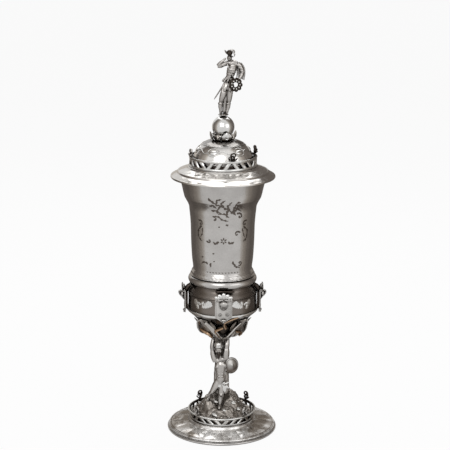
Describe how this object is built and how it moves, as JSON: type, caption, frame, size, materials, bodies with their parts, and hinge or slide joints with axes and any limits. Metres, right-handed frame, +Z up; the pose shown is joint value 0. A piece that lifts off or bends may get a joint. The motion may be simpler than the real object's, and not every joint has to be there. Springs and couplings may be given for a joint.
{
  "type": "lidded standing cup",
  "caption": "Tall silver standing cup: flared beaker on a bulged bowl, carried by a cast figure on a lobed foot, with a lift-off cover and figure finial.",
  "frame": {"origin": "middle of the foot, on the surface it stands on", "axes": "+Z up along the cup's axis, front (the carrying figure) towards -Y, viewer's right +X"},
  "size_m": [0.1144, 0.1144, 0.3999],
  "materials": {
    "polished_silver": "polished, lightly tarnished silver",
    "cast_silver": "cast and chased silver with dark recesses",
    "chased_silver": "raised and matted silver",
    "steel_fixings": "plain steel"
  },
  "bodies": {
    "cup": {"foot_ring": "polished_silver", "foot_flange": "chased_silver", "foot_gallery": "polished_silver", "foot_crest_front_right": "cast_silver", "foot_crest_back_right": "cast_silver", "foot_crest_back_left": "cast_silver", "foot_crest_front_left": "cast_silver", "ground_mound": "chased_silver", "stem_figure": "cast_silver", "stem_trunk": "cast_silver", "figure_shield": "polished_silver", "stem_rod": "steel_fixings", "foot_washer": "steel_fixings", "foot_nut": "steel_fixings", "bowl_nut": "steel_fixings", "calyx_plate": "cast_silver", "calyx_core": "cast_silver", "calyx_scroll_front": "cast_silver", "calyx_scroll_right": "cast_silver", "calyx_scroll_back": "cast_silver", "calyx_scroll_left": "cast_silver", "calyx_leaf_front_right": "cast_silver", "calyx_leaf_back_right": "cast_silver", "calyx_leaf_back_left": "cast_silver", "calyx_leaf_front_left": "cast_silver", "knop_bowl": "polished_silver", "knop_rim_ring": "polished_silver", "strap_bracket_front": "cast_silver", "strap_bracket_right": "cast_silver", "strap_bracket_back": "cast_silver", "strap_bracket_left": "cast_silver", "torus_ring": "polished_silver", "beaker": "polished_silver", "lip_wire": "polished_silver"},
    "cover": {"cover_brim": "polished_silver", "cover_bezel": "polished_silver", "cover_dome": "polished_silver", "cover_gallery": "polished_silver", "cover_crest_front": "cast_silver", "cover_crest_right": "cast_silver", "cover_crest_back": "cast_silver", "cover_crest_left": "cast_silver", "finial_calyx": "cast_silver", "finial_ball": "polished_silver", "finial_rod": "steel_fixings", "finial_nut": "steel_fixings", "finial_figure": "cast_silver", "finial_wreath": "cast_silver", "finial_sword": "cast_silver"}
  },
  "joints": [
    {"name": "cover_lift", "type": "slide", "parent": "cup", "child": "cover", "axis": [0, 0, 1], "range_m": [0, 0.08]}
  ]
}
